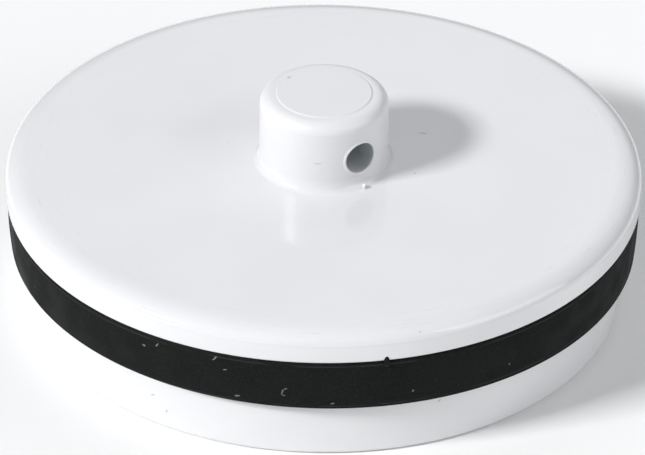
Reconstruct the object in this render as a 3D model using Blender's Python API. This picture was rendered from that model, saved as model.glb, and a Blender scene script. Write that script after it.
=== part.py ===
"""Drain plug for a wash basin: a moulded white body, and a rubber seal band in its groove.

Frame: metres, +Z up through the knob, origin under the middle of the rim that the plug stands on.
The cross hole through the knob, where a chain would go, runs along Y.
"""

import math

import bmesh
import bpy

# Driving dimensions, metres.
DISC_RADIUS = 0.0230
DISC_THICKNESS = 0.00245
DISC_EDGE_WIDTH = 0.0019
DISC_EDGE_HEIGHT = 0.0010
DISC_LOWER_EDGE_RADIUS = 0.00025

GROOVE_HEIGHT = 0.00385
GROOVE_CORE_RADIUS = 0.0208

SKIRT_HEIGHT = 0.00465
SKIRT_TOP_RADIUS = 0.0219
SKIRT_FOOT_RADIUS = 0.0217
SKIRT_EDGE_RADIUS = 0.0004
MOUTH_RADIUS = 0.0195
MOUTH_EDGE_RADIUS = 0.0003

HOLLOW_TOP_RADIUS = 0.0192
HOLLOW_CORNER_RADIUS = 0.0008
WEB_THICKNESS = 0.0022
CORE_POCKET_RADIUS = 0.0022
CORE_POCKET_DEPTH = 0.0018

KNOB_RADIUS = 0.00465
KNOB_HEIGHT = 0.00555
KNOB_EDGE_RADIUS = 0.0009
KNOB_BASE_FILLET = 0.0004
KNOB_RING_RADIUS = 0.0034
KNOB_RING_HALF_WIDTH = 0.00008
KNOB_RING_DEPTH = 0.0001

CROSS_HOLE_RADIUS = 0.00122
CROSS_HOLE_ABOVE_DISC = 0.00236

BAND_CLEARANCE = 0.0003
BAND_TOP_RADIUS = 0.0229
BAND_FOOT_RADIUS = 0.0227
BAND_EDGE_RADIUS = 0.0004

SEGMENTS = 72
HOLE_SEGMENTS = 32
MERGE_DISTANCE = 1e-6
SHARP_ANGLE = math.radians(35)

# Levels that follow from the driving dimensions.
GROOVE_FLOOR_Z = SKIRT_HEIGHT
DISC_UNDERSIDE_Z = GROOVE_FLOOR_Z + GROOVE_HEIGHT
DISC_TOP_Z = DISC_UNDERSIDE_Z + DISC_THICKNESS
HOLLOW_TOP_Z = DISC_TOP_Z - WEB_THICKNESS
KNOB_TOP_Z = DISC_TOP_Z + KNOB_HEIGHT
CROSS_HOLE_Z = DISC_TOP_Z + CROSS_HOLE_ABOVE_DISC


def clear_scene():
    """Remove whatever the file holds."""
    for item in list(bpy.data.objects):
        bpy.data.objects.remove(item, do_unlink=True)


def oval_arc(centre_r, centre_z, width, height, start_deg, end_deg, steps):
    """Points (r, z) of an oval arc, with 0 degrees pointing away from the axis and 90 degrees up."""
    points = []
    for step in range(steps + 1):
        angle = math.radians(start_deg + (end_deg - start_deg) * step / steps)
        points.append((centre_r + width * math.cos(angle), centre_z + height * math.sin(angle)))
    return points


def arc(centre_r, centre_z, radius, start_deg, end_deg, steps):
    """Points (r, z) of a round arc."""
    return oval_arc(centre_r, centre_z, radius, radius, start_deg, end_deg, steps)


def knob_profile():
    """The knob from the axis at its top down to the disc, with the fine ring in its top face."""
    ring_inner = KNOB_RING_RADIUS - KNOB_RING_HALF_WIDTH
    ring_outer = KNOB_RING_RADIUS + KNOB_RING_HALF_WIDTH
    points = [
        (0.0, KNOB_TOP_Z),
        (ring_inner, KNOB_TOP_Z),
        (KNOB_RING_RADIUS, KNOB_TOP_Z - KNOB_RING_DEPTH),
        (ring_outer, KNOB_TOP_Z),
    ]
    points += arc(KNOB_RADIUS - KNOB_EDGE_RADIUS, KNOB_TOP_Z - KNOB_EDGE_RADIUS,
                  KNOB_EDGE_RADIUS, 90, 0, 5)
    points += arc(KNOB_RADIUS + KNOB_BASE_FILLET, DISC_TOP_Z + KNOB_BASE_FILLET,
                  KNOB_BASE_FILLET, 180, 270, 3)
    return points


def disc_profile():
    """The disc's wide soft upper edge, its side, and its underside as far as the groove."""
    points = oval_arc(DISC_RADIUS - DISC_EDGE_WIDTH, DISC_TOP_Z - DISC_EDGE_HEIGHT,
                      DISC_EDGE_WIDTH, DISC_EDGE_HEIGHT, 90, 0, 8)
    points += arc(DISC_RADIUS - DISC_LOWER_EDGE_RADIUS, DISC_UNDERSIDE_Z + DISC_LOWER_EDGE_RADIUS,
                  DISC_LOWER_EDGE_RADIUS, 0, -90, 2)
    points.append((GROOVE_CORE_RADIUS, DISC_UNDERSIDE_Z))
    return points


def skirt_profile():
    """The groove's floor, the outside of the skirt and the flat rim that the plug stands on."""
    edge = SKIRT_EDGE_RADIUS
    points = [(GROOVE_CORE_RADIUS, GROOVE_FLOOR_Z)]
    points += arc(SKIRT_TOP_RADIUS - edge, GROOVE_FLOOR_Z - edge, edge, 90, 0, 3)
    points += arc(SKIRT_FOOT_RADIUS - edge, edge, edge, 0, -90, 3)
    points += arc(MOUTH_RADIUS + MOUTH_EDGE_RADIUS, MOUTH_EDGE_RADIUS,
                  MOUTH_EDGE_RADIUS, -90, -180, 2)
    return points


def hollow_profile():
    """The inside of the skirt, up to the web under the disc and the pocket under the knob."""
    corner = HOLLOW_CORNER_RADIUS
    points = arc(HOLLOW_TOP_RADIUS - corner, HOLLOW_TOP_Z - corner, corner, 0, 90, 4)
    points += [
        (CORE_POCKET_RADIUS, HOLLOW_TOP_Z),
        (CORE_POCKET_RADIUS, HOLLOW_TOP_Z + CORE_POCKET_DEPTH),
        (0.0, HOLLOW_TOP_Z + CORE_POCKET_DEPTH),
    ]
    return points


def band_profile():
    """The seal band's section, clear of the groove above, below and inside."""
    top = DISC_UNDERSIDE_Z - BAND_CLEARANCE
    foot = GROOVE_FLOOR_Z + BAND_CLEARANCE
    inner = GROOVE_CORE_RADIUS + BAND_CLEARANCE
    edge = BAND_EDGE_RADIUS
    points = [(inner, top)]
    points += arc(BAND_TOP_RADIUS - edge, top - edge, edge, 90, 0, 3)
    points += arc(BAND_FOOT_RADIUS - edge, foot + edge, edge, 0, -90, 3)
    points.append((inner, foot))
    return points


def turn(name, profile, closed):
    """Turn a profile of (r, z) points a full circle about Z and return the new object."""
    shape = bmesh.new()
    corners = [shape.verts.new((r, 0.0, z)) for r, z in profile]
    pairs = list(zip(corners, corners[1:]))
    if closed:
        pairs.append((corners[-1], corners[0]))
    edges = [shape.edges.new(pair) for pair in pairs]
    bmesh.ops.spin(shape, geom=corners + edges, cent=(0, 0, 0), axis=(0, 0, 1),
                   angle=math.tau, steps=SEGMENTS)
    bmesh.ops.remove_doubles(shape, verts=shape.verts, dist=MERGE_DISTANCE)
    bmesh.ops.recalc_face_normals(shape, faces=shape.faces)

    mesh = bpy.data.meshes.new(name)
    shape.to_mesh(mesh)
    shape.free()
    mesh.shade_smooth()
    mesh.set_sharp_from_angle(angle=SHARP_ANGLE)
    item = bpy.data.objects.new(name, mesh)
    bpy.context.scene.collection.objects.link(item)
    return item


def plain_material(name, colour, roughness):
    """A plain Principled material."""
    material = bpy.data.materials.new(name)
    material.use_nodes = True
    shader = material.node_tree.nodes["Principled BSDF"]
    shader.inputs["Base Color"].default_value = (*colour, 1.0)
    shader.inputs["Roughness"].default_value = roughness
    shader.inputs["Metallic"].default_value = 0.0
    return material


def cut_cross_hole(body):
    """Cut the hole for a chain through the knob, along Y."""
    bpy.ops.mesh.primitive_cylinder_add(
        vertices=HOLE_SEGMENTS,
        radius=CROSS_HOLE_RADIUS,
        depth=KNOB_RADIUS * 3,
        location=(0, 0, CROSS_HOLE_Z),
        rotation=(math.radians(90), 0, 0),
    )
    cutter = bpy.context.object
    cutter.name = "cross_hole_cutter"
    cutter.hide_render = True
    cutter.display_type = "WIRE"
    cut = body.modifiers.new("cross_hole", "BOOLEAN")
    cut.operation = "DIFFERENCE"
    cut.object = cutter


def make_plug_body():
    """The white moulding: disc, knob, groove and hollow skirt."""
    profile = knob_profile() + disc_profile() + skirt_profile() + hollow_profile()
    body = turn("plug_body", profile, closed=False)
    body.data.materials.append(plain_material("white_plastic", (0.80, 0.81, 0.83), 0.25))
    cut_cross_hole(body)


def make_seal_band():
    """The rubber band that seals the plug in its seat."""
    band = turn("seal_band", band_profile(), closed=True)
    band.data.materials.append(plain_material("black_rubber", (0.016, 0.018, 0.018), 0.5))


clear_scene()
make_plug_body()
make_seal_band()
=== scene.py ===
"""Basin drain plug: a glossy white moulding with a pierced knob, and a black rubber seal band.

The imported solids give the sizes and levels. Each piece is modelled afresh here at full detail
and dressed in its own finish, and stands on a plain pale floor under two soft lamps.
"""

import logging
import math
from collections.abc import Callable, Iterable
from dataclasses import dataclass, field
from enum import Enum
from functools import reduce

import bmesh
import bpy
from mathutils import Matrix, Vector


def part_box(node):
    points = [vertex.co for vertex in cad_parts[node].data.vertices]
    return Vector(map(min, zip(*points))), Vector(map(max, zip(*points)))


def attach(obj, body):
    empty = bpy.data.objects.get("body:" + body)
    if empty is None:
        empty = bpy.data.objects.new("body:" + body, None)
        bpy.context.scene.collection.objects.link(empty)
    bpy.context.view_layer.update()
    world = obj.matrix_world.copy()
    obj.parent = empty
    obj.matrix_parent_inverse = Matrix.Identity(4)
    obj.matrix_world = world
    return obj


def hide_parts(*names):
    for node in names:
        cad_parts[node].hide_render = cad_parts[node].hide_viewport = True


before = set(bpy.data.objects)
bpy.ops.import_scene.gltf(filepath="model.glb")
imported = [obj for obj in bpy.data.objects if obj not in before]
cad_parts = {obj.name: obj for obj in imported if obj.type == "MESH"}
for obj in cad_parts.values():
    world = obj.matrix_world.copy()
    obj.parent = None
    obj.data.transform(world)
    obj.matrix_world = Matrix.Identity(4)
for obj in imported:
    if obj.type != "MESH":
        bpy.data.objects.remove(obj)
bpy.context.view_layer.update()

LOG = logging.getLogger("drain_plug")
MM = 0.001
ROOT_BODY = "root"
PLACE_TOLERANCE = 0.01 * MM

Colour = tuple[float, float, float]
Solid = bpy.types.Object
Group = bpy.types.NodeTree
Socket = bpy.types.NodeSocket
PointTest = Callable[[Vector], bool]


class Part(Enum):
    """What an edit-mode selection picks."""

    EDGES = "EDGE"
    FACES = "FACE"


class Slot(Enum):
    """The finishes that the record names."""

    WHITE_PLASTIC = "white_plastic"
    BLACK_RUBBER = "black_rubber"


# ---- Bench work: selecting and shaping meshes ----


def take(item: Solid) -> None:
    """Select one object alone and make it the active one."""
    bpy.ops.object.select_all(action="DESELECT")
    item.select_set(True)
    bpy.context.view_layer.objects.active = item


def start_editing(item: Solid) -> None:
    """Take an object into edit mode with nothing in it selected."""
    take(item)
    bpy.ops.object.mode_set(mode="EDIT")
    bpy.ops.mesh.select_all(action="DESELECT")


def stop_editing() -> None:
    """Go back to object mode."""
    bpy.ops.object.mode_set(mode="OBJECT")


def radius_of(place: Vector) -> float:
    """How far a place is from the Z axis."""
    return math.hypot(place.x, place.y)


def pick(item: Solid, part: Part, test: PointTest) -> int:
    """Select the edges or faces whose every point passes a test, and nothing else.

    Args:
        item: the object in edit mode.
        part: which kind of element is picked.
        test: says whether a point belongs.

    Returns:
        How many elements were picked.
    """
    bpy.ops.mesh.select_mode(type=part.value)
    bpy.ops.mesh.select_all(action="DESELECT")
    mesh = bmesh.from_edit_mesh(item.data)
    elements = mesh.edges if part is Part.EDGES else mesh.faces
    found = [element for element in elements if all(test(point.co) for point in element.verts)]
    for element in found:
        element.select_set(True)
    mesh.select_flush_mode()
    bmesh.update_edit_mesh(item.data)
    return len(found)


def shift_points(item: Solid, shift: Callable[[Vector], None]) -> None:
    """Move the points of an object in edit mode, each by the same rule on its place."""
    mesh = bmesh.from_edit_mesh(item.data)
    for point in mesh.verts:
        shift(point.co)
    bmesh.update_edit_mesh(item.data)


def round_ring(item: Solid, radius: float, level: float, by: float,
               steps: int) -> None:
    """Round the circular edge at that radius and level.

    Args:
        item: the object in edit mode.
        radius: the edge's radius about Z.
        level: the edge's height.
        by: how far the rounding reaches along each face.
        steps: how many strips of faces make up the rounding.
    """
    def on_ring(place: Vector) -> bool:
        """Whether a place lies on the edge."""
        return (abs(radius_of(place) - radius) < PLACE_TOLERANCE
                and abs(place.z - level) < PLACE_TOLERANCE)

    if not pick(item, Part.EDGES, on_ring):
        raise ValueError(f"{item.name} has no edge at radius {radius:.5f}, level {level:.5f}")
    bpy.ops.mesh.bevel(offset=by, offset_type="OFFSET", segments=steps, profile=0.5,
                       affect="EDGES", clamp_overlap=False)


def bake_modifier(item: Solid, name: str) -> None:
    """Apply one of an object's modifiers to its mesh."""
    take(item)
    bpy.ops.object.modifier_apply(modifier=name)


def combine(item: Solid, other: Solid, operation: str) -> None:
    """Cut or join one solid with another by a Boolean, and remove the other.

    Args:
        item: the solid that is kept.
        other: the solid that is used up.
        operation: the Boolean's operation.
    """
    step = item.modifiers.new("combine", "BOOLEAN")
    step.operation = operation
    step.solver = "EXACT"
    step.object = other
    bake_modifier(item, step.name)
    bpy.data.objects.remove(other, do_unlink=True)


def settle(item: Solid) -> None:
    """Put an object's place into its mesh, so that the object itself sits at the origin."""
    take(item)
    bpy.ops.object.transform_apply(location=True, rotation=True, scale=True)


def smooth(item: Solid, crease_deg: float) -> None:
    """Shade an object smooth, with hard creases past an angle and its large faces kept true."""
    take(item)
    bpy.ops.object.shade_smooth_by_angle(angle=math.radians(crease_deg))
    step = item.modifiers.new("true_faces", "WEIGHTED_NORMAL")
    step.keep_sharp = True
    bake_modifier(item, step.name)


def turned_blank(name: str, segments: int, radius: float, low: float, high: float) -> Solid:
    """Start a turned piece in edit mode, as a plain cylinder.

    Args:
        name: the piece's name.
        segments: how many sides it has.
        radius: its radius.
        low: the level of its lower end.
        high: the level of its upper end.

    Returns:
        The piece.
    """
    bpy.ops.mesh.primitive_cylinder_add(vertices=segments, radius=radius, depth=high - low,
                                        location=(0, 0, (low + high) / 2), end_fill_type="NGON")
    item = bpy.context.object
    item.name = item.data.name = name
    settle(item)
    start_editing(item)
    return item


class EndFace:
    """The flat round end face of a turned solid, kept selected from one step to the next."""

    def __init__(self, item: Solid, radius: float, level: float) -> None:
        """Pick the end face at a level.

        Args:
            item: the object in edit mode.
            radius: the face's radius.
            level: the face's height.
        """
        self.radius = radius
        self.level = level
        if not pick(item, Part.FACES, lambda place: abs(place.z - level) < PLACE_TOLERANCE):
            raise ValueError(f"{item.name} has no end face at level {level:.5f}")

    def resize_to(self, radius: float) -> None:
        """Widen or narrow the selected face to a radius."""
        share = radius / self.radius
        bpy.ops.transform.resize(value=(share, share, 1.0), center_override=(0, 0, self.level))
        self.radius = radius

    def step_to(self, radius: float) -> None:
        """Add a flat ring round the face, inwards or outwards."""
        bpy.ops.mesh.extrude_region_move(TRANSFORM_OT_translate={"value": (0, 0, 0)})
        self.resize_to(radius)

    def draw_to(self, level: float, radius: float | None = None) -> None:
        """Extrude the face up or down to a level, with a new radius if one is given."""
        bpy.ops.mesh.extrude_region_move(
            TRANSFORM_OT_translate={"value": (0, 0, level - self.level)})
        self.level = level
        if radius is not None:
            self.resize_to(radius)


# ---- Finishes ----


class NodeBench:
    """Adds and joins the nodes of one tree. Every source is a socket or a plain value."""

    def __init__(self, tree: Group) -> None:
        """Work on a tree."""
        self.tree = tree

    def add(self, kind: str, **values: object) -> bpy.types.Node:
        """Add a node and set its fields."""
        node = self.tree.nodes.new(kind)
        for name, value in values.items():
            setattr(node, name, value)
        return node

    def join(self, source: object, target: Socket) -> None:
        """Link a socket to another, or set it to a plain value."""
        if isinstance(source, Socket):
            self.tree.links.new(source, target)
        else:
            target.default_value = source

    def feed(self, node: bpy.types.Node, **sources: object) -> bpy.types.Node:
        """Feed a node's inputs by name, with spaces written as underscores, and return it."""
        for name, source in sources.items():
            self.join(source, node.inputs[name.replace("_", " ")])
        return node

    def effect(self, group: Group, **sources: object) -> bpy.types.Node:
        """Place a shared effect and feed its inputs."""
        return self.feed(self.add("ShaderNodeGroup", node_tree=group), **sources)

    def calc(self, operation: str, *terms: object) -> Socket:
        """The result of a Math node."""
        node = self.add("ShaderNodeMath", operation=operation)
        for term, socket in zip(terms, node.inputs):
            self.join(term, socket)
        return node.outputs[0]

    def times(self, *terms: object) -> Socket:
        """The product of some terms."""
        return reduce(lambda first, second: self.calc("MULTIPLY", first, second), terms)

    def most(self, values: Iterable[Socket]) -> Socket:
        """The largest of some values."""
        return reduce(lambda first, second: self.calc("MAXIMUM", first, second), values)

    def layered(self, value: Socket, *layers: tuple[Socket, float]) -> Socket:
        """A value with a share of each mask added to it."""
        for mask, share in layers:
            value = self.calc("ADD", value, self.times(mask, share))
        return value

    def diagonal(self, first: object, second: object) -> Socket:
        """The length of the diagonal of two sides."""
        squares = [self.calc("POWER", side, 2.0) for side in (first, second)]
        return self.calc("SQRT", self.calc("ADD", *squares))

    def vector(self, operation: str, first: object, second: object = None) -> Socket:
        """The result of a Vector Math node."""
        node = self.add("ShaderNodeVectorMath", operation=operation)
        self.join(first, node.inputs[0])
        if second is not None:
            self.join(second, node.inputs["Scale" if operation == "SCALE" else 1])
        return node.outputs["Value" if operation in ("LENGTH", "DOT_PRODUCT") else "Vector"]

    def split(self, place: Socket) -> tuple[Socket, ...]:
        """The X, Y and Z of a place."""
        node = self.add("ShaderNodeSeparateXYZ")
        self.join(place, node.inputs[0])
        return tuple(node.outputs)

    def pack(self, *parts: object) -> Socket:
        """A place from its X, Y and Z."""
        node = self.add("ShaderNodeCombineXYZ")
        for part, socket in zip(parts, node.inputs):
            self.join(part, socket)
        return node.outputs[0]

    def ramp(self, value: Socket, low: object, high: object, to_low: float = 0.0,
             to_high: float = 1.0) -> Socket:
        """A value mapped smoothly from one range to another."""
        node = self.add("ShaderNodeMapRange", interpolation_type="SMOOTHSTEP")
        self.feed(node, Value=value, From_Min=low, From_Max=high, To_Min=to_low, To_Max=to_high)
        return node.outputs["Result"]

    def noise(self, place: Socket, scale: object, detail: float, output: str = "Fac") -> Socket:
        """Plain noise from about 0 to 1, as a value or as a colour."""
        node = self.add("ShaderNodeTexNoise", noise_dimensions="3D")
        return self.feed(node, Vector=place, Scale=scale, Detail=detail).outputs[output]

    def waved(self, place: Socket, scale: float, reach: float) -> Socket:
        """A place pushed about by noise."""
        push = self.vector("SUBTRACT", self.noise(place, scale, 1.0, "Color"), (0.5, 0.5, 0.5))
        return self.vector("ADD", place, self.vector("SCALE", push, reach))

    def turned(self, place: Socket, turn_deg: float, stretch: Colour) -> Socket:
        """A place turned about Z and then stretched, for patterns that run one way."""
        turn = self.add("ShaderNodeVectorRotate", rotation_type="Z_AXIS")
        self.feed(turn, Vector=place, Angle=math.radians(turn_deg))
        return self.vector("MULTIPLY", turn.outputs[0], stretch)

    def blend(self, share: object, first: object, second: object) -> Socket:
        """Two colours mixed by a share."""
        node = self.add("ShaderNodeMix", data_type="RGBA")
        for index, source in ((0, share), (6, first), (7, second)):
            self.join((*source, 1.0) if isinstance(source, tuple) else source, node.inputs[index])
        return node.outputs[2]

    def bump(self, height: Socket, strength: float, distance: float) -> Socket:
        """The normal that a height gives."""
        node = self.add("ShaderNodeBump")
        return self.feed(node, Strength=strength, Distance=distance, Height=height).outputs[0]

    def finish_group(self, **results: Socket) -> Group:
        """Lead a group's results to its outputs, and return the group."""
        self.feed(self.add("NodeGroupOutput"), **results)
        return self.tree


def new_group(name: str, inputs: dict[str, float], outputs: tuple[str, ...],
              vectors: tuple[str, ...] = ("Place",)) -> tuple[NodeBench, object]:
    """Start a shader node group that takes a place and some numbers, and gives values.

    Args:
        name: the group's name.
        inputs: its number inputs, with their usual values.
        outputs: its value outputs.
        vectors: its vector inputs.

    Returns:
        A bench to build the group on, and what it is given, by name.
    """
    group = bpy.data.node_groups.new(name, "ShaderNodeTree")
    for title in vectors:
        group.interface.new_socket(name=title, in_out="INPUT", socket_type="NodeSocketVector")
    for title, usual in inputs.items():
        socket = group.interface.new_socket(name=title, in_out="INPUT",
                                            socket_type="NodeSocketFloat")
        socket.default_value = usual
    for title in outputs:
        group.interface.new_socket(name=title, in_out="OUTPUT", socket_type="NodeSocketFloat")
    bench = NodeBench(group)
    return bench, bench.add("NodeGroupInput").outputs


@dataclass(frozen=True)
class Effects:
    """The surface effects that more than one finish uses, each a node group."""

    scratches: Group
    specks: Group
    unevenness: Group
    scuffs: Group
    single_mark: Group

    @classmethod
    def build(cls) -> "Effects":
        """Build each group once."""
        return cls(cls._scratches(), cls._specks(), cls._unevenness(), cls._scuffs(),
                   cls._single_mark())

    @staticmethod
    def _scuffs() -> Group:
        """Broken streaks that run round the Z axis, as handling and turning leave them."""
        bench, given = new_group("turning_scuffs",
                                 {"Along": 9.0, "Across": 6000.0, "Least": 0.62, "Most": 0.74},
                                 ("Scuffs", "Radius", "Height"))
        x, y, height = bench.split(given["Place"])
        flat = bench.pack(x, y)
        radius = bench.vector("LENGTH", flat)
        around = bench.vector("SCALE", bench.vector("NORMALIZE", flat), given["Along"])
        across = bench.times(bench.calc("SUBTRACT", radius, height), given["Across"])
        streaked = bench.pack(*bench.split(around)[:2], across)
        streaks = bench.ramp(bench.noise(streaked, 1.0, 2.0), given["Least"], given["Most"])
        return bench.finish_group(Scuffs=streaks, Radius=radius, Height=height)

    @staticmethod
    def _single_mark() -> Group:
        """One short mark with soft ends, at a centre and along a heading."""
        bench, given = new_group("single_mark",
                                 {"Half Length": 0.0004, "Half Width": 0.0001, "Reach": 0.001},
                                 ("Mark",), ("Place", "Centre", "Along", "Across"))
        away = bench.vector("SUBTRACT", given["Place"], given["Centre"])
        squares = []
        for heading, size in (("Along", "Half Length"), ("Across", "Half Width")):
            part = bench.vector("DOT_PRODUCT", away, given[heading])
            squares.append(bench.calc("POWER", bench.calc("DIVIDE", part, given[size]), 2.0))
        near = bench.calc("LESS_THAN", bench.vector("LENGTH", away), given["Reach"])
        mark = bench.ramp(bench.calc("ADD", *squares), 0.3, 1.0, 1.0, 0.0)
        return bench.finish_group(Mark=bench.times(mark, near))

    @staticmethod
    def _scratches() -> Group:
        """Short hairline scratches in three directions."""
        bench, given = new_group("hairline_scratches", {"Scale": 300.0, "Amount": 0.5},
                                 ("Scratches",))
        spaced = bench.vector("SCALE", given["Place"], given["Scale"])
        lines = []
        for turn in (17.0, 74.0, 141.0):
            along = bench.turned(spaced, turn, (1.0, 34.0, 12.0))
            lines.append(bench.ramp(bench.noise(along, 1.0, 0.0), 0.76, 0.84))
        return bench.finish_group(Scratches=bench.times(bench.most(lines), given["Amount"]))

    @staticmethod
    def _specks() -> Group:
        """Scattered small specks, most cells left clean."""
        bench, given = new_group("dust_specks", {"Scale": 600.0, "Size": 0.12, "Share": 0.1},
                                 ("Specks",))
        ragged = bench.noise(given["Place"], 4200.0, 2.0, "Color")
        place = bench.vector("ADD", given["Place"], bench.vector("SCALE", ragged, 0.22 * MM))
        cells = bench.add("ShaderNodeTexVoronoi", feature="F1")
        bench.feed(cells, Vector=place, Scale=given["Scale"])
        chance = bench.add("ShaderNodeSeparateColor")
        bench.join(cells.outputs["Color"], chance.inputs[0])
        dirty = bench.calc("LESS_THAN", chance.outputs[0], given["Share"])
        reach = bench.times(given["Size"], bench.ramp(chance.outputs[1], 0.0, 1.0, 0.35, 1.0))
        inside = bench.calc("SUBTRACT", 1.0, bench.calc("DIVIDE", cells.outputs["Distance"], reach))
        return bench.finish_group(Specks=bench.times(bench.ramp(inside, 0.0, 0.5), dirty))

    @staticmethod
    def _unevenness() -> Group:
        """The slow waves and the fine grain of a moulded surface, as a height from 0 to 1."""
        bench, given = new_group("moulded_unevenness",
                                 {"Wave Scale": 120.0, "Grain Scale": 5000.0, "Grain": 0.1},
                                 ("Height", "Cloud"))
        wave = bench.noise(given["Place"], given["Wave Scale"], 1.0)
        grain = bench.noise(given["Place"], given["Grain Scale"], 3.0)
        height = bench.calc("MULTIPLY_ADD", grain, given["Grain"], wave)
        return bench.finish_group(Height=height, Cloud=wave)


@dataclass(frozen=True)
class Mark:
    """One short mark on a surface: a nick, a scratch or a flake of lint.

    Attributes:
        radius: distance of its middle from the Z axis.
        azimuth_deg: its bearing about Z, counted from -Y towards +X.
        level: its height.
        climb_deg: how steeply it runs, from level (0) to upright (90).
        length_mm: its whole length.
        width_mm: its whole width.
        outward: True if it runs outwards from the axis rather than round it.
    """

    radius: float
    azimuth_deg: float
    level: float
    climb_deg: float
    length_mm: float
    width_mm: float
    outward: bool = False

    def mask(self, bench: NodeBench, place: Socket, effects: Effects) -> Socket:
        """The mark's mask on a material's bench."""
        turn, climb = math.radians(self.azimuth_deg), math.radians(self.climb_deg)
        out = Vector((math.sin(turn), -math.cos(turn), 0.0))
        around = Vector((math.cos(turn), math.sin(turn), 0.0))
        centre = out * self.radius + Vector((0.0, 0.0, self.level))
        second = out if self.outward else Vector((0.0, 0.0, 1.0))
        along = around * math.cos(climb) + second * math.sin(climb)
        across = second * math.cos(climb) - around * math.sin(climb)
        node = bench.effect(effects.single_mark, Place=place, Centre=centre, Along=along,
                            Across=across, Half_Length=self.length_mm * MM / 2,
                            Half_Width=self.width_mm * MM / 2,
                            Reach=(self.length_mm + 0.3) * MM)
        return node.outputs["Mark"]


def plain_start(name: str) -> tuple[bpy.types.Material, NodeBench, bpy.types.Node, Socket]:
    """Start a material.

    Args:
        name: the material's name.

    Returns:
        The material, a bench for its nodes, its Principled shader, and the place on the piece.
    """
    material = bpy.data.materials.new(name)
    material.use_nodes = True
    bench = NodeBench(material.node_tree)
    shader = material.node_tree.nodes["Principled BSDF"]
    shader.inputs["Metallic"].default_value = 0.0
    return material, bench, shader, bench.add("ShaderNodeTexCoord").outputs["Object"]


@dataclass(frozen=True)
class WitnessMarks:
    """Where the mould leaves its marks on the plastic, where handling wears the knob, and where
    painted shade darkens the inside of the cross hole.

    Attributes:
        seam_level: height of the line round the disc's side where the mould's halves met.
        seam_radius: how far out the line is.
        hole_level: height of the cross hole's middle.
        hole_radius: the cross hole's radius.
        knob_radius: the knob's radius.
        line_width: how wide the line is.
    """

    seam_level: float
    seam_radius: float
    hole_level: float
    hole_radius: float
    knob_radius: float
    line_width: float = 0.06 * MM

    def on_seam(self, bench: NodeBench, place: Socket) -> Socket:
        """Mask the raised line round the disc's side.

        Args:
            bench: the material's bench.
            place: the place on the piece.

        Returns:
            1 on the line, 0 away from it.
        """
        x, y, height = bench.split(place)
        waver = bench.times(bench.noise(place, 900.0, 2.0), 0.10 * MM)
        off = bench.calc("ABSOLUTE", bench.calc("SUBTRACT", bench.calc("ADD", height, waver),
                                                self.seam_level + 0.05 * MM))
        outside = bench.calc("GREATER_THAN", bench.diagonal(x, y), self.seam_radius)
        return bench.times(bench.ramp(off, 0.0, self.line_width, 1.0, 0.0), outside)

    def on_knob(self, bench: NodeBench, scuff: bpy.types.Node) -> Socket:
        """Mask the knob's side.

        Args:
            bench: the material's bench.
            scuff: a scuffs node, whose radius and height of the place are used.

        Returns:
            1 on the knob, 0 on the disc and the skirt.
        """
        inward = bench.ramp(scuff.outputs["Radius"], self.knob_radius, self.knob_radius + 0.4 * MM,
                            1.0, 0.0)
        low = self.seam_level + 1.1 * MM
        return bench.times(inward, bench.ramp(scuff.outputs["Height"], low, low + 0.3 * MM))

    def inside_hole(self, bench: NodeBench, place: Socket) -> Socket:
        """Mask the inside of the cross hole, where painted shade darkens the plastic.

        Args:
            bench: the material's bench.
            place: the place on the piece.

        Returns:
            1 well inside the hole, 0 at its mouths and everywhere else.
        """
        x, y, height = bench.split(place)
        off_axis = bench.diagonal(x, bench.calc("SUBTRACT", height, self.hole_level))
        within = bench.ramp(off_axis, self.hole_radius, self.hole_radius + 0.05 * MM, 1.0, 0.0)
        depth = bench.calc("SUBTRACT", self.knob_radius, bench.calc("ABSOLUTE", y))
        return bench.times(within, bench.ramp(depth, 0.05 * MM, 0.6 * MM))


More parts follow.
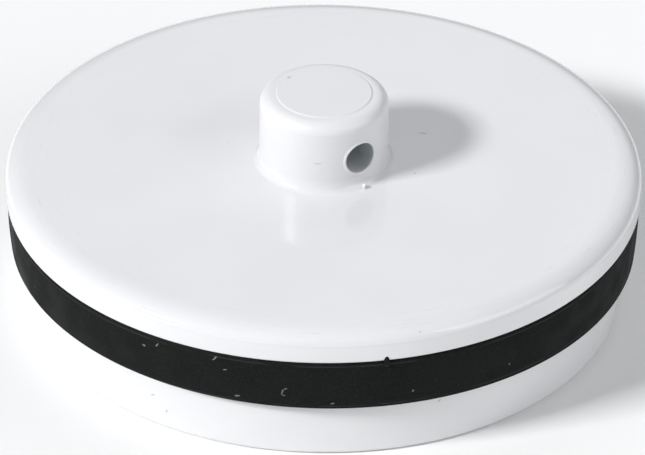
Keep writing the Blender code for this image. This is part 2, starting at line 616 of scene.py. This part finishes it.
@dataclass(frozen=True)
class GlossPlastic:
    """Glossy white moulded plastic, lightly handled.

    Attributes:
        tint: the plastic's own colour.
        shade: its slightly deeper colour where it lies thicker.
        scuffed: the colour of a scuff or a hairline scratch.
        smudge: the colour of the faint grey specks left by handling.
        painted_hole_shade: painted shade, the darker colour deep in the cross hole.
        knob_wear: how much duller the knob is from handling.
    """

    tint: Colour = (0.778, 0.779, 0.793)
    shade: Colour = (0.764, 0.766, 0.781)
    scuffed: Colour = (0.58, 0.58, 0.59)
    smudge: Colour = (0.36, 0.36, 0.36)
    # Painted shade deep in the cross hole.
    painted_hole_shade: Colour = (0.58, 0.62, 0.62)
    roughness_low: float = 0.055
    roughness_high: float = 0.085
    knob_wear: float = 0.27
    ior: float = 1.57

    def make(self, name: str, effects: Effects, witness: WitnessMarks,
             marks: tuple[Mark, ...]) -> bpy.types.Material:
        """Build the material.

        Args:
            name: the material's name.
            effects: the shared surface effects.
            witness: where the mould left its marks, and where painted shade darkens the hole.
            marks: single nicks and scratches.

        Returns:
            The finished material.
        """
        material, bench, shader, place = plain_start(name)
        shader.inputs["IOR"].default_value = self.ior

        uneven = bench.effect(effects.unevenness, Place=place, Wave_Scale=160.0,
                              Grain_Scale=9000.0, Grain=0.012)
        cloud = uneven.outputs["Cloud"]
        scratch = bench.effect(effects.scratches, Place=place, Scale=330.0, Amount=0.3).outputs[0]
        speck = bench.effect(effects.specks, Place=place, Scale=420.0, Size=0.045,
                             Share=0.12).outputs[0]
        scuff = bench.effect(effects.scuffs, Place=place)
        near_rim = bench.ramp(scuff.outputs["Radius"], 18.0 * MM, 21.6 * MM, 0.15, 1.0)
        on_top = bench.ramp(scuff.outputs["Height"], witness.seam_level,
                            witness.seam_level + 0.9 * MM, 0.15, 1.0)
        scuffs = bench.times(near_rim, on_top, scuff.outputs["Scuffs"])
        wavy = bench.waved(place, 2500.0, 0.25 * MM)
        nicks = bench.most([mark.mask(bench, wavy, effects) for mark in marks])

        base = bench.blend(bench.ramp(cloud, 0.35, 0.65), self.tint, self.shade)
        for mask, share, tint in ((scratch, 0.12, self.scuffed), (scuffs, 0.30, self.scuffed),
                                  (speck, 0.6, self.smudge), (nicks, 0.6, self.smudge)):
            base = bench.blend(bench.times(mask, share), base, tint)
        # Painted shade: the inside of the cross hole is darkened, deepest away from its mouths.
        base = bench.blend(witness.inside_hole(bench, place), base, self.painted_hole_shade)
        rough = bench.ramp(cloud, 0.3, 0.7, self.roughness_low, self.roughness_high)
        rough = bench.layered(rough, (scratch, 0.12), (scuffs, 0.04),
                              (witness.on_knob(bench, scuff), self.knob_wear))
        height = bench.layered(uneven.outputs["Height"], (scratch, -0.05), (nicks, -0.8),
                               (witness.on_seam(bench, place), 1.6))
        bench.feed(shader, Base_Color=base, Roughness=rough,
                   Normal=bench.bump(height, 0.35, 0.02 * MM))
        return material


@dataclass(frozen=True)
class BandRubber:
    """Black moulded rubber with a satin skin, some lint, a dusty bloom, and pale lines beside its
    edges that are painted highlight and partly rubbing wear.

    Attributes:
        tint: the rubber's own colour.
        bloom: its dusty colour where it is scuffed.
        edge_rub_and_highlight: the colour of the pale lines beside the edges, painted highlight of
            the rounded corners and partly rubbing wear.
        lint: the colour of dust and lint.
        sheen: how strongly it shines, 0.5 being plain plastic.
    """

    tint: Colour = (0.0080, 0.0096, 0.0088)
    bloom: Colour = (0.018, 0.021, 0.020)
    edge_rub_and_highlight: Colour = (0.027, 0.031, 0.029)
    lint: Colour = (0.36, 0.38, 0.38)
    sheen: float = 0.06
    roughness_low: float = 0.52
    roughness_high: float = 0.68

    def make(self, name: str, effects: Effects, edges: tuple[float, float],
             marks: tuple[Mark, ...]) -> bpy.types.Material:
        """Build the material.

        Args:
            name: the material's name.
            effects: the shared surface effects.
            edges: the levels of the two pale lines beside the band's edges, painted highlight and
                partly rubbing wear.
            marks: single flakes of lint.

        Returns:
            The finished material.
        """
        material, bench, shader, place = plain_start(name)
        shader.inputs["IOR"].default_value = 1.5
        shader.inputs["Specular IOR Level"].default_value = self.sheen

        uneven = bench.effect(effects.unevenness, Place=place, Wave_Scale=420.0,
                              Grain_Scale=11000.0, Grain=0.8)
        cloud = uneven.outputs["Cloud"]
        speck = bench.effect(effects.specks, Place=place, Scale=620.0, Size=0.06,
                             Share=0.12).outputs[0]
        scuff = bench.effect(effects.scuffs, Place=place, Along=14.0, Across=5200.0, Least=0.50,
                             Most=0.75)
        wavy = bench.waved(place, 1800.0, 0.35 * MM)
        lint = bench.most([mark.mask(bench, wavy, effects) for mark in marks])
        dusty = bench.ramp(bench.noise(place, 6500.0, 2.0), 0.48, 0.70)
        # Painted highlight, partly rubbing wear: pale lines along the band's top and bottom edges.
        rub_and_highlight_lines = self._rub_and_highlight_lines(bench, scuff.outputs["Height"], cloud, edges)

        base = bench.blend(bench.times(dusty, 0.5), self.tint, self.bloom)
        for mask, share, tint in ((scuff.outputs["Scuffs"], 0.15, self.bloom),
                                  (rub_and_highlight_lines, 1.0, self.edge_rub_and_highlight), (speck, 0.5, self.lint),
                                  (lint, 0.45, self.lint)):
            base = bench.blend(bench.times(mask, share), base, tint)
        rough = bench.ramp(cloud, 0.3, 0.7, self.roughness_low, self.roughness_high)
        height = bench.layered(uneven.outputs["Height"], (speck, 0.8))
        bench.feed(shader, Base_Color=base, Roughness=rough,
                   Normal=bench.bump(height, 0.30, 0.03 * MM))
        return material

    @staticmethod
    def _rub_and_highlight_lines(bench: NodeBench, height: Socket, cloud: Socket,
                      edges: tuple[float, float]) -> Socket:
        """The thin pale lines beside the band's two edges, broken here and there: painted highlight
        of the rounded corners, partly rubbing wear.
        """
        lines = []
        for level in edges:
            off = bench.calc("ABSOLUTE", bench.calc("SUBTRACT", height, level))
            lines.append(bench.ramp(off, 0.02 * MM, 0.07 * MM, 1.0, 0.0))
        return bench.times(bench.most(lines), bench.ramp(cloud, 0.35, 0.60))


# ---- Pieces ----


@dataclass(frozen=True)
class Levels:
    """Heights and radii that both pieces share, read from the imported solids."""

    groove_floor: float
    disc_underside: float
    knob_top: float
    disc_radius: float

    @classmethod
    def read(cls, clearance: float) -> "Levels":
        """Read the levels.

        Args:
            clearance: the room that the band's solid keeps to its groove.

        Returns:
            The levels.
        """
        band_low, band_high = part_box("seal_band")
        _, body_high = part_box("plug_body")
        return cls(band_low.z - clearance, band_high.z + clearance, body_high.z, body_high.x)


@dataclass
class PlugBody:
    """The white moulding: covering disc, pierced knob, seal groove and hollow skirt."""

    levels: Levels
    segments: int = 192
    disc_thickness: float = 2.45 * MM
    disc_edge_width: float = 1.90 * MM
    disc_edge_height: float = 1.00 * MM
    disc_lower_edge: float = 0.25 * MM
    groove_core: float = 20.8 * MM
    skirt_top: float = 21.9 * MM
    skirt_foot: float = 21.7 * MM
    skirt_edge: float = 0.40 * MM
    mouth: float = 19.5 * MM
    mouth_edge: float = 0.30 * MM
    hollow_top: float = 19.2 * MM
    hollow_corner: float = 0.80 * MM
    web: float = 2.20 * MM
    pocket: float = 2.20 * MM
    pocket_depth: float = 1.80 * MM
    gate: float = 0.55 * MM
    gate_height: float = 0.30 * MM
    knob: float = 4.65 * MM
    knob_edge: float = 0.90 * MM
    knob_fillet: float = 0.55 * MM
    knob_flare: float = 0.95 * MM
    ring: float = 3.44 * MM
    ring_half_width: float = 0.05 * MM
    ring_rise: float = 0.06 * MM
    hole: float = 1.22 * MM
    hole_above_disc: float = 2.36 * MM
    lip: float = 0.13 * MM
    lip_offset: float = 0.08 * MM
    lip_sink: float = 0.07 * MM
    ejector: float = 1.75 * MM
    ejector_circle: float = 14.0 * MM
    ejector_depth: float = 0.06 * MM
    ejector_count: int = 4
    item: Solid = field(init=False)

    @property
    def disc_top(self) -> float:
        """Height of the disc's flat top."""
        return self.levels.disc_underside + self.disc_thickness

    @property
    def knob_shoulder(self) -> float:
        """Height of the knob's top outside its raised middle."""
        return self.levels.knob_top - self.ring_rise

    @property
    def hole_level(self) -> float:
        """Height of the cross hole's axis."""
        return self.disc_top + self.hole_above_disc

    @property
    def hollow_level(self) -> float:
        """Height of the ceiling inside the skirt."""
        return self.disc_top - self.web

    @property
    def gate_level(self) -> float:
        """Height of the gate's stub, which hangs in the pocket."""
        return self.hollow_level + self.pocket_depth - self.gate_height

    def build(self) -> Solid:
        """Model the whole moulding and return it."""
        self.item = turned_blank("white_moulding", self.segments, self.skirt_top, 0.0,
                                 self.levels.groove_floor)
        self._draw_upwards()
        self._draw_hollow()
        self._round_edges()
        stop_editing()
        self._press_ejector_marks()
        self._add_base_nub()
        self._cut_cross_hole()
        self._roll_hole_lips()
        smooth(self.item, 30.0)
        LOG.info("%s: %d faces", self.item.name, len(self.item.data.polygons))
        return self.item

    def _draw_upwards(self) -> None:
        """From the skirt's top draw the groove's core, the disc, and the knob."""
        face = EndFace(self.item, self.skirt_top, self.levels.groove_floor)
        face.step_to(self.groove_core)
        face.draw_to(self.levels.disc_underside)
        face.step_to(self.levels.disc_radius)
        face.draw_to(self.disc_top - self.disc_edge_height)
        face.draw_to(self.disc_top)
        face.step_to(self.knob)
        face.draw_to(self.knob_shoulder)
        face.step_to(self.ring + self.ring_half_width)
        face.draw_to(self.levels.knob_top, self.ring - self.ring_half_width)

    def _draw_hollow(self) -> None:
        """Taper the skirt, and draw the hollow up into it with the pocket and the gate's stub."""
        face = EndFace(self.item, self.skirt_top, 0.0)
        face.resize_to(self.skirt_foot)
        face.step_to(self.mouth)
        face.draw_to(self.hollow_level, self.hollow_top)
        face.step_to(self.pocket)
        face.draw_to(self.hollow_level + self.pocket_depth)
        face.step_to(self.gate)
        face.draw_to(self.gate_level, self.gate * 0.8)

    def _round_edges(self) -> None:
        """Give every turned edge its rounding."""
        item, levels = self.item, self.levels
        round_ring(item, self.knob, self.knob_shoulder, self.knob_edge, 10)
        self._round_knob_foot()
        self._round_disc_edge()
        for radius, level, by, steps in (
                (levels.disc_radius, levels.disc_underside, self.disc_lower_edge, 5),
                (self.skirt_top, levels.groove_floor, self.skirt_edge, 5),
                (self.skirt_foot, 0.0, self.skirt_edge, 6),
                (self.mouth, 0.0, self.mouth_edge, 4),
                (self.hollow_top, self.hollow_level, self.hollow_corner, 6),
                (self.pocket, self.hollow_level, 0.2 * MM, 4),
                (self.gate * 0.8, self.gate_level, 0.1 * MM, 3)):
            round_ring(item, radius, level, by, steps)

    def _round_knob_foot(self) -> None:
        """Round the knob's foot and stretch the rounding upwards into a slender flare."""
        wide = self.knob_fillet
        round_ring(self.item, self.knob, self.disc_top, wide, 8)

        def stretch(place: Vector) -> None:
            """Raise a place on the rounding."""
            rise = place.z - self.disc_top
            on_foot = PLACE_TOLERANCE < rise < wide + PLACE_TOLERANCE
            if on_foot and radius_of(place) < self.knob + wide + PLACE_TOLERANCE:
                place.z = self.disc_top + rise * self.knob_flare / wide

        shift_points(self.item, stretch)

    def _round_disc_edge(self) -> None:
        """Round the disc's upper edge and stretch the rounding inwards into a wide soft oval."""
        outer, tall = self.levels.disc_radius, self.disc_edge_height
        round_ring(self.item, outer, self.disc_top, tall, 14)

        def stretch(place: Vector) -> None:
            """Draw a place on the rounding inwards."""
            radius = radius_of(place)
            if place.z > self.disc_top - tall and radius > outer - tall - PLACE_TOLERANCE:
                reach = (outer - radius) / tall
                place.xy *= (outer - self.disc_edge_width * reach) / radius

        shift_points(self.item, stretch)

    def _press_ejector_marks(self) -> None:
        """Press the round marks of the ejector pins into the ceiling of the hollow."""
        for index in range(self.ejector_count):
            angle = math.tau * (index + 0.5) / self.ejector_count
            bpy.ops.mesh.primitive_cylinder_add(
                vertices=48, radius=self.ejector, depth=2 * self.ejector_depth,
                location=(self.ejector_circle * math.cos(angle),
                          self.ejector_circle * math.sin(angle), self.hollow_level))
            combine(self.item, bpy.context.object, "DIFFERENCE")

    def _add_base_nub(self) -> None:
        """Join on the small nub that the core pin leaves at the knob's foot, below the hole."""
        bpy.ops.mesh.primitive_uv_sphere_add(
            segments=20, ring_count=12, radius=0.5,
            location=(0, -(self.knob + 0.38 * MM), self.disc_top + 0.16 * MM),
            scale=(0.20 * MM, 0.34 * MM, 0.48 * MM))
        combine(self.item, bpy.context.object, "UNION")

    def _cut_cross_hole(self) -> None:
        """Drill the knob through along Y."""
        bpy.ops.mesh.primitive_cylinder_add(
            vertices=64, radius=self.hole, depth=3 * self.knob,
            location=(0, 0, self.hole_level), rotation=(math.radians(90), 0, 0))
        combine(self.item, bpy.context.object, "DIFFERENCE")

    def _roll_hole_lips(self) -> None:
        """Join a low rolled lip round each mouth of the cross hole, bent to the knob's side."""
        for side in (-1.0, 1.0):
            bpy.ops.mesh.primitive_torus_add(
                major_radius=self.hole + self.lip_offset, minor_radius=self.lip,
                major_segments=72, minor_segments=14, location=(0, 0, self.hole_level),
                rotation=(math.radians(90), 0, 0))
            lip = bpy.context.object
            settle(lip)

            def bend(place: Vector) -> None:
                """Move a place on the lip out to the knob's side."""
                knob_side = math.sqrt(self.knob ** 2 - place.x ** 2)
                place.y += side * (knob_side - self.lip_sink)

            start_editing(lip)
            shift_points(lip, bend)
            stop_editing()
            combine(self.item, lip, "UNION")

    def _marks(self) -> tuple[Mark, ...]:
        """The nicks and scratches that the moulding carries."""
        top, knob_top = self.disc_top, self.levels.knob_top
        return (
            Mark(self.knob, -40.0, top + 2.4 * MM, 0.0, 0.8, 0.08),
            Mark(self.ring - 0.2 * MM, -163.0, knob_top, 15.0, 0.45, 0.22, outward=True),
            Mark(8.0 * MM, 81.0, top, -62.0, 0.85, 0.15, outward=True),
            Mark(6.9 * MM, 38.0, top, 20.0, 0.25, 0.20, outward=True),
            Mark(self.skirt_top, -13.0, 3.7 * MM, 30.0, 0.28, 0.16),
            Mark(self.skirt_top, -68.0, 2.6 * MM, 0.0, 0.45, 0.20),
            Mark(self.skirt_top, -65.0, 1.6 * MM, 40.0, 0.28, 0.20),
        )

    def dress(self, effects: Effects) -> None:
        """Give the moulding its finish and its place in the model."""
        witness = WitnessMarks(seam_level=self.disc_top - self.disc_edge_height,
                               seam_radius=self.levels.disc_radius - 0.5 * MM,
                               hole_level=self.hole_level,
                               hole_radius=self.hole, knob_radius=self.knob)
        finish = GlossPlastic().make("gloss_white_plastic", effects, witness, self._marks())
        self.item.data.materials.clear()
        self.item.data.materials.append(finish)
        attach(self.item, ROOT_BODY)
        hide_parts("plug_body")


@dataclass
class SealBand:
    """The black rubber band that lies stretched in the groove."""

    levels: Levels
    segments: int = 240
    top: float = 22.90 * MM
    foot: float = 22.70 * MM
    core: float = 20.82 * MM
    crown: float = 0.06 * MM
    crown_rings: int = 5
    top_edge: float = 0.22 * MM
    foot_edge: float = 0.20 * MM
    seat_gap: float = 0.02 * MM
    lip_from: float = 21.95 * MM
    lip_sag: float = 0.17 * MM
    lip_lean: float = 0.20 * MM
    lip_height: float = 2.00 * MM
    lip_lowest_deg: float = 55.0
    nub_azimuth_deg: float = -23.8
    nub_width: float = 0.42 * MM
    nub_height: float = 0.90 * MM
    nub_depth: float = 0.34 * MM
    item: Solid = field(init=False)

    def build(self) -> Solid:
        """Model the band and return it."""
        low = self.levels.groove_floor + self.seat_gap
        high = self.levels.disc_underside - self.seat_gap
        self.item = turned_blank("rubber_band", self.segments, self.foot, low, high)
        EndFace(self.item, self.foot, high).resize_to(self.top)
        self._open_middle(low, high)
        self._crown(low, high)
        round_ring(self.item, self.top, high, self.top_edge, 6)
        round_ring(self.item, self.foot, low, self.foot_edge, 7)
        self._sag_lip(low)
        stop_editing()
        self._add_flash_nub(high)
        smooth(self.item, 40.0)
        LOG.info("%s: %d faces", self.item.name, len(self.item.data.polygons))
        return self.item

    def _open_middle(self, low: float, high: float) -> None:
        """Narrow both end faces to the core's radius and bridge them into the inner wall."""
        for radius, level in ((self.foot, low), (self.top, high)):
            EndFace(self.item, radius, level).step_to(self.core)
            bpy.ops.mesh.delete(type="FACE")
        pick(self.item, Part.EDGES, lambda place: abs(radius_of(place) - self.core)
             < PLACE_TOLERANCE)
        bpy.ops.mesh.bridge_edge_loops()

    def _crown(self, low: float, high: float) -> None:
        """Divide the outer face into rings and swell it slightly between its edges."""
        inside = self.core + MM
        mesh = bmesh.from_edit_mesh(self.item.data)
        bpy.ops.mesh.select_mode(type="EDGE")
        bpy.ops.mesh.select_all(action="DESELECT")
        for edge in mesh.edges:
            first, second = (point.co for point in edge.verts)
            if abs(first.z - second.z) > (high - low) / 2 and radius_of(first) > inside:
                edge.select_set(True)
        bmesh.update_edit_mesh(self.item.data)
        bpy.ops.mesh.subdivide(number_cuts=self.crown_rings)

        def swell(place: Vector) -> None:
            """Move a place on the outer face outwards."""
            radius = radius_of(place)
            if radius > inside:
                height = (place.z - low) / (high - low)
                place.xy *= 1.0 + self.crown * math.sin(math.pi * height) / radius

        shift_points(self.item, swell)

    def _sag_lip(self, low: float) -> None:
        """Let the part of the band past the skirt hang a little, more on one side.

        Args:
            low: the level of the band's lower face.
        """
        lowest = math.radians(self.lip_lowest_deg)

        def hang(place: Vector) -> None:
            """Lower a place near the band's foot."""
            out = (radius_of(place) - self.lip_from) / (self.foot - self.lip_from)
            if out < 0.0:
                return
            sag = self.lip_sag + self.lip_lean * math.cos(math.atan2(place.x, -place.y) - lowest)
            near_foot = max(0.0, 1.0 - (place.z - low) / self.lip_height)
            place.z -= sag * min(1.0, out) * near_foot

        shift_points(self.item, hang)

    def _add_flash_nub(self, high: float) -> None:
        """Join on the small nub of flash that laps up over the disc's lower edge.

        Args:
            high: the level of the band's upper face.
        """
        out = from_bearing(self.nub_azimuth_deg, 0.0)
        bpy.ops.mesh.primitive_uv_sphere_add(
            segments=24, ring_count=14, radius=0.5,
            location=(*(out.xy * (self.top + 0.06 * MM)), high),
            rotation=(0, 0, math.radians(self.nub_azimuth_deg)),
            scale=(self.nub_width, self.nub_depth, self.nub_height))
        combine(self.item, bpy.context.object, "UNION")

    def _lint(self) -> tuple[Mark, ...]:
        """The flakes of lint that cling to the band."""
        floor, face = self.levels.groove_floor, self.top
        return (
            Mark(face, -42.0, floor + 1.3 * MM, 80.0, 0.60, 0.12),
            Mark(face, -41.4, floor + 1.6 * MM, 20.0, 0.40, 0.12),
            Mark(face, -41.7, floor + 1.0 * MM, -15.0, 0.32, 0.12),
            Mark(face, -50.0, floor + 0.5 * MM, 30.0, 0.40, 0.17),
            Mark(face, -33.0, floor + 0.4 * MM, 5.0, 0.32, 0.14),
            Mark(face, -19.0, floor + 1.0 * MM, 45.0, 0.28, 0.14),
            Mark(face, -52.0, floor + 2.6 * MM, 20.0, 0.26, 0.15),
            Mark(face, -54.0, floor + 3.4 * MM, 35.0, 0.60, 0.14),
            Mark(face, -65.0, floor + 3.2 * MM, 50.0, 0.42, 0.15),
            Mark(face, -68.0, floor + 2.8 * MM, 20.0, 0.30, 0.16),
        )

    def dress(self, effects: Effects) -> None:
        """Give the band its finish and its place in the model."""
        # The levels of the pale edge lines on the band: painted highlight, partly rubbing wear.
        edges = (self.levels.disc_underside - 0.30 * MM, self.levels.groove_floor + 0.16 * MM)
        finish = BandRubber().make("satin_black_rubber", effects, edges, self._lint())
        self.item.data.materials.clear()
        self.item.data.materials.append(finish)
        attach(self.item, ROOT_BODY)
        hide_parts("seal_band")


# ---- Studio ----


def from_bearing(azimuth_deg: float, elevation_deg: float) -> Vector:
    """The direction from the plug at an azimuth, counted from -Y towards +X, and an elevation."""
    azimuth, elevation = math.radians(azimuth_deg), math.radians(elevation_deg)
    return Vector((math.sin(azimuth) * math.cos(elevation),
                   -math.cos(azimuth) * math.cos(elevation), math.sin(elevation)))


@dataclass(frozen=True)
class Viewpoint:
    """Where the camera stands."""

    azimuth_deg: float = -35.0
    elevation_deg: float = 32.7
    distance: float = 0.385
    lens_mm: float = 294.8
    aim: tuple[float, float, float] = (-0.00004, 0.00003, 0.00495)
    roll_deg: float = 0.50

    def place(self) -> None:
        """Make the camera and use it."""
        camera = bpy.data.objects.new("camera", bpy.data.cameras.new("camera"))
        bpy.context.scene.collection.objects.link(camera)
        back = from_bearing(self.azimuth_deg, self.elevation_deg)
        camera.matrix_world = (-back).to_track_quat("-Z", "Y").to_matrix().to_4x4()
        camera.rotation_euler.rotate_axis("Z", math.radians(self.roll_deg))
        camera.location = Vector(self.aim) + back * self.distance
        camera.data.lens = self.lens_mm
        camera.data.sensor_width = 36.0
        camera.data.clip_start = 0.01
        bpy.context.scene.camera = camera


@dataclass(frozen=True)
class Lamp:
    """A soft white lamp aimed at the plug, placed by its bearing from the camera's."""

    name: str
    bearing_deg: float
    elevation_deg: float
    distance: float
    width: float
    height: float
    watts: float

    def place(self, camera_azimuth_deg: float) -> None:
        """Make the lamp and aim it."""
        light = bpy.data.lights.new(self.name, "AREA")
        light.shape = "RECTANGLE"
        light.size = self.width
        light.size_y = self.height
        light.energy = self.watts
        lamp = bpy.data.objects.new(self.name, light)
        bpy.context.scene.collection.objects.link(lamp)
        back = from_bearing(camera_azimuth_deg + self.bearing_deg, self.elevation_deg)
        lamp.location = back * self.distance
        lamp.rotation_mode = "QUATERNION"
        lamp.rotation_quaternion = (-back).to_track_quat("-Z", "Y")


@dataclass
class Studio:
    """The floor, the surrounding light, the lamps and the camera."""

    viewpoint: Viewpoint = field(default_factory=Viewpoint)
    lamps: tuple[Lamp, ...] = (
        Lamp("key_lamp", -63.0, 34.2, 3.00, 0.74, 0.42, 81.0),
        Lamp("fill_lamp", 66.0, 26.0, 0.60, 0.50, 0.36, 0.92),
    )
    floor_size: float = 3.0
    floor_opening: float = 21.3 * MM
    floor_tint: Colour = (0.95, 0.95, 0.95)
    surround_below: Colour = (0.50, 0.50, 0.51)
    surround_low: Colour = (0.12, 0.123, 0.128)
    surround_high: Colour = (0.41, 0.416, 0.428)
    back_card: Colour = (0.92, 0.93, 0.945)
    back_card_bearing_deg: float = 167.0
    back_card_elevation_deg: float = 33.0
    back_card_edges_deg: tuple[float, float] = (25.0, 7.0)

    def set_up(self) -> None:
        """Build the whole studio."""
        bpy.context.scene.view_settings.view_transform = "Standard"
        self._lay_floor()
        self._hang_surround()
        for lamp in self.lamps:
            lamp.place(self.viewpoint.azimuth_deg)
        self.viewpoint.place()
        LOG.info("studio: %d lamps", len(self.lamps))

    def _lay_floor(self) -> None:
        """Lay a plain pale floor, open from below and under the plug, so its underside is lit."""
        bpy.ops.mesh.primitive_plane_add(size=self.floor_size)
        floor = bpy.context.object
        floor.name = "floor"
        material, bench, shader, place = plain_start("pale_floor")
        bench.feed(shader, Base_Color=(*self.floor_tint, 1.0), Roughness=0.9,
                   Specular_IOR_Level=0.1)
        below = bench.add("ShaderNodeNewGeometry").outputs["Backfacing"]
        under_plug = bench.calc("LESS_THAN", bench.vector("LENGTH", place), self.floor_opening)
        either = bench.add("ShaderNodeMixShader")
        bench.join(bench.most((below, under_plug)), either.inputs[0])
        bench.join(shader.outputs[0], either.inputs[1])
        bench.join(bench.add("ShaderNodeBsdfTransparent").outputs[0], either.inputs[2])
        bench.join(either.outputs[0], material.node_tree.nodes["Material Output"].inputs[0])
        floor.data.materials.append(material)

    def _hang_surround(self) -> None:
        """Light everything softly from all round, with a pale card behind the plug."""
        world = bpy.data.worlds.new("surround")
        bpy.context.scene.world = world
        world.use_nodes = True
        bench = NodeBench(world.node_tree)
        around = bench.add("ShaderNodeTexCoord").outputs["Generated"]
        height = bench.split(around)[2]
        tint = bench.blend(bench.ramp(height, 0.0, 0.6), self.surround_low, self.surround_high)
        tint = bench.blend(bench.calc("LESS_THAN", height, 0.0), tint, self.surround_below)
        facing = bench.vector("DOT_PRODUCT", around, from_bearing(
            self.viewpoint.azimuth_deg + self.back_card_bearing_deg, self.back_card_elevation_deg))
        outer, inner = (math.cos(math.radians(edge)) for edge in self.back_card_edges_deg)
        tint = bench.blend(bench.ramp(facing, outer, inner), tint, self.back_card)
        bench.feed(world.node_tree.nodes["Background"], Color=tint)


def main() -> None:
    """Build the studio and the two pieces."""
    logging.basicConfig(level=logging.INFO, format="%(name)s: %(message)s")
    Studio().set_up()
    effects = Effects.build()
    levels = Levels.read(clearance=0.3 * MM)
    for piece in (PlugBody(levels), SealBand(levels)):
        piece.build()
        piece.dress(effects)


if __name__ == "__main__":
    main()
